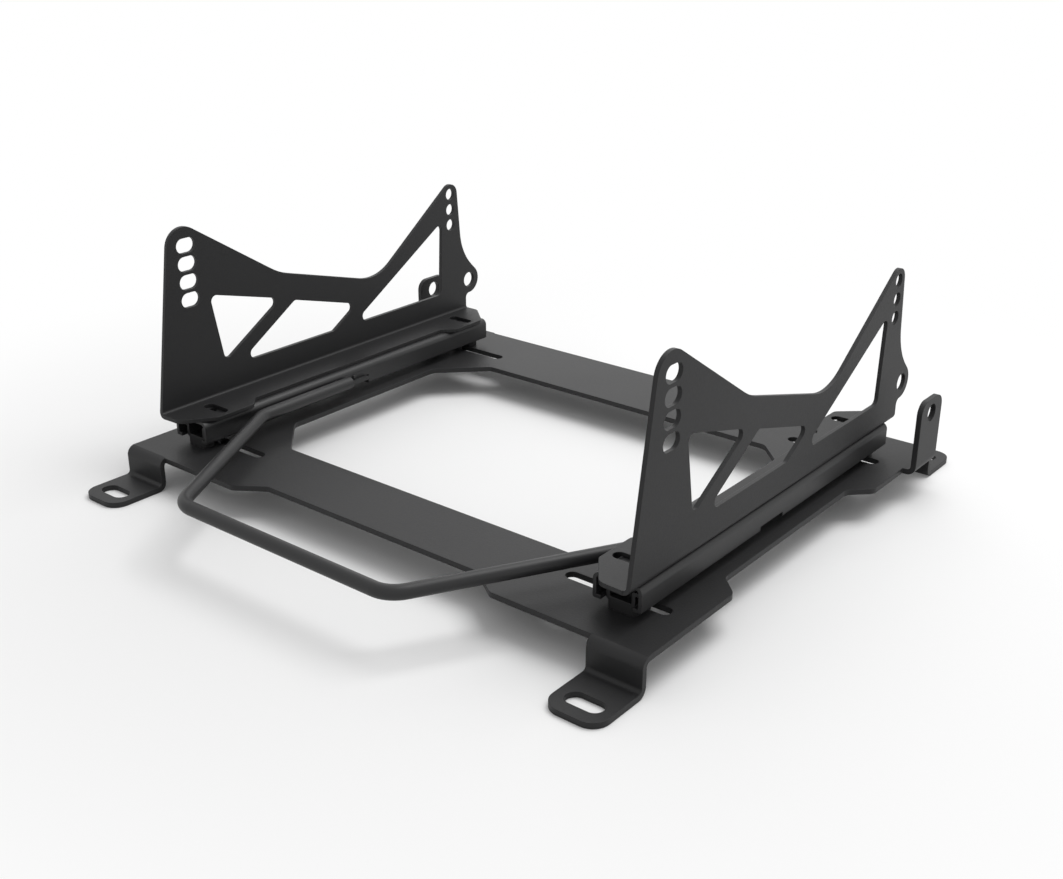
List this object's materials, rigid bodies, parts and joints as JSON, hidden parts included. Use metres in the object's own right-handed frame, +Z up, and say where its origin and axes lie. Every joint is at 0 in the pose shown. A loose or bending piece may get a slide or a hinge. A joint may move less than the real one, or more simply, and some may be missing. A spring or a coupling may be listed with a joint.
{
  "type": "seat base",
  "caption": "Low steel base for a bucket seat: bent floor plate, two roller slides with a bar release handle, and tall side brackets with rows of mounting holes.",
  "frame": {"origin": "middle of the base's overall box, on the floor", "axes": "+X to the right seen from the handle end, +Y to the rear, +Z up"},
  "size_m": [0.5004, 0.496, 0.1916],
  "materials": {
    "powder_coat": "satin black powder coat with a fine grain",
    "rail_coat": "satin black coated slide steel",
    "handle_coat": "semi-gloss black paint",
    "black_zinc": "black zinc plated fasteners",
    "bearing_steel": "polished bearing steel",
    "cage_steel": "stamped steel strip",
    "glide_plastic": "black moulded plastic"
  },
  "bodies": {
    "base": {"base_plate": "powder_coat", "lower_rail_left": "rail_coat", "lower_rail_right": "rail_coat", "slide_bolts": "black_zinc", "slide_washers": "black_zinc", "slide_nuts": "black_zinc"},
    "left_carriage": {"upper_rail_left": "rail_coat", "side_bracket_left": "powder_coat", "weld_nuts_left": "black_zinc", "glide_blocks_left": "glide_plastic", "latch_pin_left": "black_zinc"},
    "right_carriage": {"upper_rail_right": "rail_coat", "side_bracket_right": "powder_coat", "weld_nuts_right": "black_zinc", "glide_blocks_right": "glide_plastic", "latch_pin_right": "black_zinc"},
    "left_cages": {"roller_cage_left": "cage_steel", "rollers_left": "bearing_steel"},
    "right_cages": {"roller_cage_right": "cage_steel", "rollers_right": "bearing_steel"},
    "handle": {"release_handle": "handle_coat", "latch_lever_left": "handle_coat", "latch_lever_right": "handle_coat"}
  },
  "joints": [
    {"name": "left_slide", "type": "slide", "parent": "base", "child": "left_carriage", "axis": [0, 1, 0], "range_m": [-0.09, 0.09]},
    {"name": "right_slide", "type": "slide", "parent": "base", "child": "right_carriage", "axis": [0, 1, 0], "range_m": [-0.09, 0.09]},
    {"name": "left_cage_slide", "type": "slide", "parent": "base", "child": "left_cages", "axis": [0, 1, 0], "range_m": [-0.045, 0.045]},
    {"name": "right_cage_slide", "type": "slide", "parent": "base", "child": "right_cages", "axis": [0, 1, 0], "range_m": [-0.045, 0.045]},
    {"name": "handle_lift", "type": "hinge", "parent": "left_carriage", "child": "handle", "pos_m": [0, -0.0205, 0.0425], "axis": [-1, 0, 0], "range_deg": [0, 9]}
  ],
  "couplings": [
    {"joint": "right_slide", "follows": "left_slide", "ratio": 1},
    {"joint": "left_cage_slide", "follows": "left_slide", "ratio": 0.5},
    {"joint": "right_cage_slide", "follows": "left_slide", "ratio": 0.5}
  ]
}
